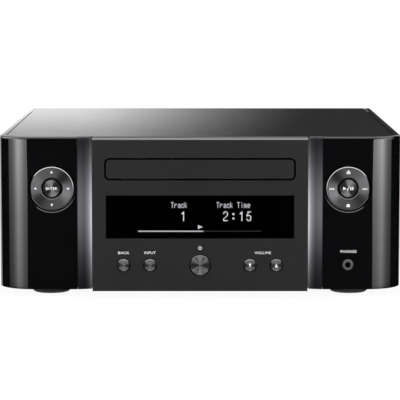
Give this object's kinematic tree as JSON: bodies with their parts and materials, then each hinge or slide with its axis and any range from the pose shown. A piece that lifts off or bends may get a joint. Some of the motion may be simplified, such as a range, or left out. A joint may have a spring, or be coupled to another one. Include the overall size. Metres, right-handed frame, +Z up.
{
  "type": "mini hi-fi receiver with a disc tray",
  "caption": "Compact black disc receiver with rounded wings, round control pads, a display window and a motor-driven disc tray above it.",
  "frame": {"origin": "middle of the footprint, on the table under the feet", "axes": "+X to the right as seen from the front, the front faces -Y, +Z up"},
  "size_m": [0.28, 0.303, 0.1106],
  "materials": {
    "steel_pan": "zinc-plated sheet steel",
    "steel_black": "black powder coat",
    "gloss_black": "polished black moulding",
    "satin_black": "satin painted moulding",
    "spun_metal": "spun and dark anodised",
    "window": "smoked clear moulding",
    "display_glass": "dark display glass",
    "light_guide": "frosted smoked light guide",
    "foot": "moulded with a soft pad",
    "board": "glass-fibre board",
    "black_moulding": "plain moulded",
    "natural_moulding": "natural acetal",
    "bright_steel": "plain steel",
    "rod_steel": "ground steel",
    "brass": "gilded",
    "belt_rubber": "moulded rubber",
    "lens": "coated lens",
    "sink_metal": "extruded",
    "coil": "taped winding on a steel core",
    "cap_red": "clear red cap",
    "cap_black": "black cap",
    "screw": "zinc-plated"
  },
  "bodies": {
    "cabinet": {"base_pan": "steel_pan", "feet": "foot", "rear_panel": "steel_black", "side_panel_left": "gloss_black", "side_panel_right": "gloss_black", "top_plate": "gloss_black", "wing_left": "gloss_black", "wing_right": "gloss_black", "centre_panel": "satin_black", "front_frame": "black_moulding", "light_guides": "light_guide", "display_window": "window", "display_module": "display_glass", "key_boards": "board", "headphone_socket": "bright_steel", "loader_chassis": "black_moulding", "loader_posts": "bright_steel", "loading_motor": "bright_steel", "drive_belt": "belt_rubber", "clamp_bridge": "bright_steel", "supply_board": "board", "transformer": "coil", "heat_sink": "sink_metal", "main_board": "board", "terminal_plate": "black_moulding", "terminal_studs": "brass", "audio_sockets": "black_moulding", "data_sockets": "black_moulding", "aerial_socket": "bright_steel", "mains_inlet": "black_moulding", "case_screws": "screw"},
    "tray": {"disc_tray": "black_moulding", "tray_door": "satin_black"},
    "drive_gear": {"drive_gear": "natural_moulding"},
    "pulley_gear": {"pulley_gear": "natural_moulding"},
    "motor_pulley": {"motor_pulley": "brass"},
    "traverse": {"traverse_frame": "bright_steel", "spindle_motor": "bright_steel", "guide_rods": "rod_steel", "sled_motor": "bright_steel"},
    "spindle": {"spindle_hub": "black_moulding"},
    "pickup": {"pickup_sled": "black_moulding", "objective_lens": "lens"},
    "sled_pinion": {"sled_pinion": "natural_moulding"},
    "disc_clamp": {"disc_clamp": "black_moulding"},
    "nav_gimbal": {"nav_gimbal": "bright_steel"},
    "nav_ring": {"nav_ring": "spun_metal"},
    "enter_key": {"enter_key": "spun_metal"},
    "transport_gimbal": {"transport_gimbal": "bright_steel"},
    "transport_ring": {"transport_ring": "spun_metal"},
    "play_key": {"play_key": "spun_metal"},
    "back_key": {"back_key": "spun_metal"},
    "input_key": {"input_key": "spun_metal"},
    "power_key": {"power_key": "spun_metal"},
    "volume_down_key": {"volume_down_key": "spun_metal"},
    "volume_up_key": {"volume_up_key": "spun_metal"},
    "terminal_cap_1": {"terminal_cap_1": "cap_black"},
    "terminal_cap_2": {"terminal_cap_2": "cap_red"},
    "terminal_cap_3": {"terminal_cap_3": "cap_black"},
    "terminal_cap_4": {"terminal_cap_4": "cap_red"}
  },
  "joints": [
    {"name": "tray_slide", "type": "slide", "parent": "cabinet", "child": "tray", "axis": [0, -1, 0], "range_m": [0, 0.135]},
    {"name": "drive_gear_turn", "type": "hinge", "parent": "cabinet", "child": "drive_gear", "pos_m": [-0.04, -0.1145, 0.0855], "axis": [0, 0, 1], "range_deg": [-5, 780]},
    {"name": "pulley_gear_turn", "type": "hinge", "parent": "cabinet", "child": "pulley_gear", "pos_m": [-0.0202, -0.1145, 0.0855], "axis": [0, 0, 1], "range_deg": [-2070, 10]},
    {"name": "motor_pulley_turn", "type": "hinge", "parent": "cabinet", "child": "motor_pulley", "pos_m": [0.018, -0.1145, 0.0855], "axis": [0, 0, 1], "range_deg": [-7800, 20]},
    {"name": "traverse_lift", "type": "hinge", "parent": "cabinet", "child": "traverse", "pos_m": [0, 0.0195, 0.0781], "axis": [-1, 0, 0], "range_deg": [0, 4.2]},
    {"name": "spindle_turn", "type": "hinge", "parent": "traverse", "child": "spindle", "pos_m": [0, -0.0803, 0.07177], "axis": [0, -0.0732, 0.9973], "continuous": true},
    {"name": "pickup_slide", "type": "slide", "parent": "traverse", "child": "pickup", "axis": [0, 0.9973, 0.0732], "range_m": [0, 0.035]},
    {"name": "sled_pinion_turn", "type": "hinge", "parent": "traverse", "child": "sled_pinion", "pos_m": [0.0294, -0.0322, 0.07892], "axis": [0, -0.0732, 0.9973], "range_deg": [-380, 5]},
    {"name": "disc_clamp_turn", "type": "hinge", "parent": "cabinet", "child": "disc_clamp", "pos_m": [0, -0.0805, 0.0939], "axis": [0, 0, 1], "continuous": true},
    {"name": "nav_sideways", "type": "hinge", "parent": "cabinet", "child": "nav_gimbal", "pos_m": [-0.1021, -0.13408, 0.075], "axis": [0, 0, 1], "range_deg": [-2, 2], "stiffness_Nm_per_rad": 0.4},
    {"name": "nav_up_down", "type": "hinge", "parent": "nav_gimbal", "child": "nav_ring", "pos_m": [-0.1021, -0.13408, 0.075], "axis": [1, 0, 0], "range_deg": [-2, 2], "stiffness_Nm_per_rad": 0.4},
    {"name": "transport_sideways", "type": "hinge", "parent": "cabinet", "child": "transport_gimbal", "pos_m": [0.1021, -0.13408, 0.075], "axis": [0, 0, 1], "range_deg": [-2, 2], "stiffness_Nm_per_rad": 0.4},
    {"name": "transport_up_down", "type": "hinge", "parent": "transport_gimbal", "child": "transport_ring", "pos_m": [0.1021, -0.13408, 0.075], "axis": [1, 0, 0], "range_deg": [-2, 2], "stiffness_Nm_per_rad": 0.4},
    {"name": "enter_press", "type": "slide", "parent": "cabinet", "child": "enter_key", "axis": [0, 1, 0], "range_m": [0, 0.0006], "stiffness_N_per_m": 800},
    {"name": "play_press", "type": "slide", "parent": "cabinet", "child": "play_key", "axis": [0, 1, 0], "range_m": [0, 0.0006], "stiffness_N_per_m": 800},
    {"name": "back_press", "type": "slide", "parent": "cabinet", "child": "back_key", "axis": [0, 1, 0], "range_m": [0, 0.0006], "stiffness_N_per_m": 800},
    {"name": "input_press", "type": "slide", "parent": "cabinet", "child": "input_key", "axis": [0, 1, 0], "range_m": [0, 0.0006], "stiffness_N_per_m": 800},
    {"name": "power_press", "type": "slide", "parent": "cabinet", "child": "power_key", "axis": [0, 1, 0], "range_m": [0, 0.0006], "stiffness_N_per_m": 800},
    {"name": "volume_down_press", "type": "slide", "parent": "cabinet", "child": "volume_down_key", "axis": [0, 1, 0], "range_m": [0, 0.0006], "stiffness_N_per_m": 800},
    {"name": "volume_up_press", "type": "slide", "parent": "cabinet", "child": "volume_up_key", "axis": [0, 1, 0], "range_m": [0, 0.0006], "stiffness_N_per_m": 800},
    {"name": "terminal_cap_1_turn", "type": "hinge", "parent": "cabinet", "child": "terminal_cap_1", "pos_m": [0.0865, 0.1455, 0.025], "axis": [0, 1, 0], "range_deg": [-720, 720]},
    {"name": "terminal_cap_2_turn", "type": "hinge", "parent": "cabinet", "child": "terminal_cap_2", "pos_m": [0.0865, 0.1455, 0.047], "axis": [0, 1, 0], "range_deg": [-720, 720]},
    {"name": "terminal_cap_3_turn", "type": "hinge", "parent": "cabinet", "child": "terminal_cap_3", "pos_m": [0.1055, 0.1455, 0.025], "axis": [0, 1, 0], "range_deg": [-720, 720]},
    {"name": "terminal_cap_4_turn", "type": "hinge", "parent": "cabinet", "child": "terminal_cap_4", "pos_m": [0.1055, 0.1455, 0.047], "axis": [0, 1, 0], "range_deg": [-720, 720]}
  ],
  "couplings": [
    {"joint": "drive_gear_turn", "follows": "tray_slide", "rad_per_m": 100},
    {"joint": "pulley_gear_turn", "follows": "tray_slide", "rad_per_m": -266.67},
    {"joint": "motor_pulley_turn", "follows": "tray_slide", "rad_per_m": -1002.3},
    {"joint": "sled_pinion_turn", "follows": "pickup_slide", "rad_per_m": -185.19}
  ]
}
